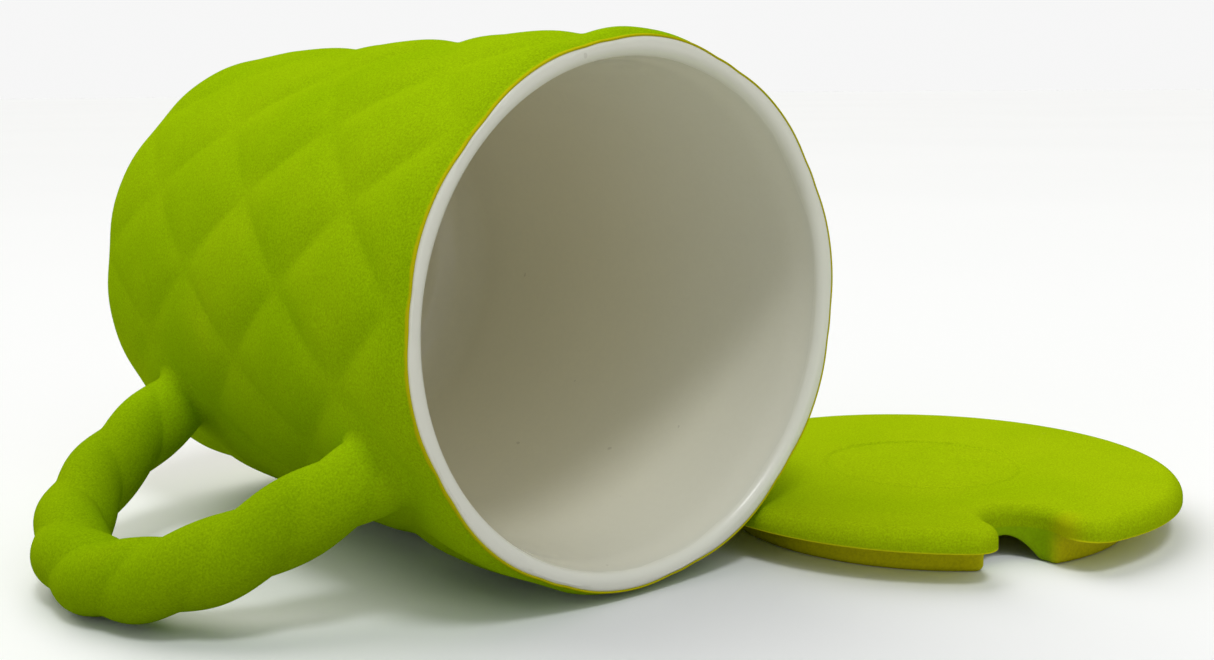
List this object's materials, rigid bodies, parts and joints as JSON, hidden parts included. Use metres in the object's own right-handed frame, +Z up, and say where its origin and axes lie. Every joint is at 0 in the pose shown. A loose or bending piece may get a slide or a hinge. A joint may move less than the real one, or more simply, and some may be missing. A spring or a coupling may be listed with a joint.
{
  "type": "quilted mug with lid",
  "caption": "Quilted ceramic mug lying on its side, with a rope-twist handle and a loose round lid that has a spoon notch.",
  "frame": {"origin": "on the table, under the middle of the box that holds the mug and the lid", "axes": "+Z up from the table; +Y along the lying mug's axis from its mouth to its foot; +X from the mug towards the lid"},
  "size_m": [0.1808, 0.1446, 0.0832],
  "materials": {
    "lime_coating": "matt, soft-touch lime-green coating with a fine grain",
    "white_glaze": "glossy white glaze",
    "bare_ceramic": "unglazed, slightly rough",
    "olive_glaze": "satin olive-yellow"
  },
  "bodies": {
    "mug": {"mug_body": "bare_ceramic", "outer_coating": "lime_coating", "inner_glaze": "white_glaze", "handle": "lime_coating", "upper_handle_joint": "lime_coating", "lower_handle_joint": "lime_coating"},
    "lid": {"lid_plate": "lime_coating", "lid_collar": "olive_glaze"}
  },
  "joints": [
    {"name": "lid_lift", "type": "slide", "parent": "mug", "child": "lid", "axis": [0.9063, 0, 0.4226], "range_m": [0, 0.1]}
  ]
}
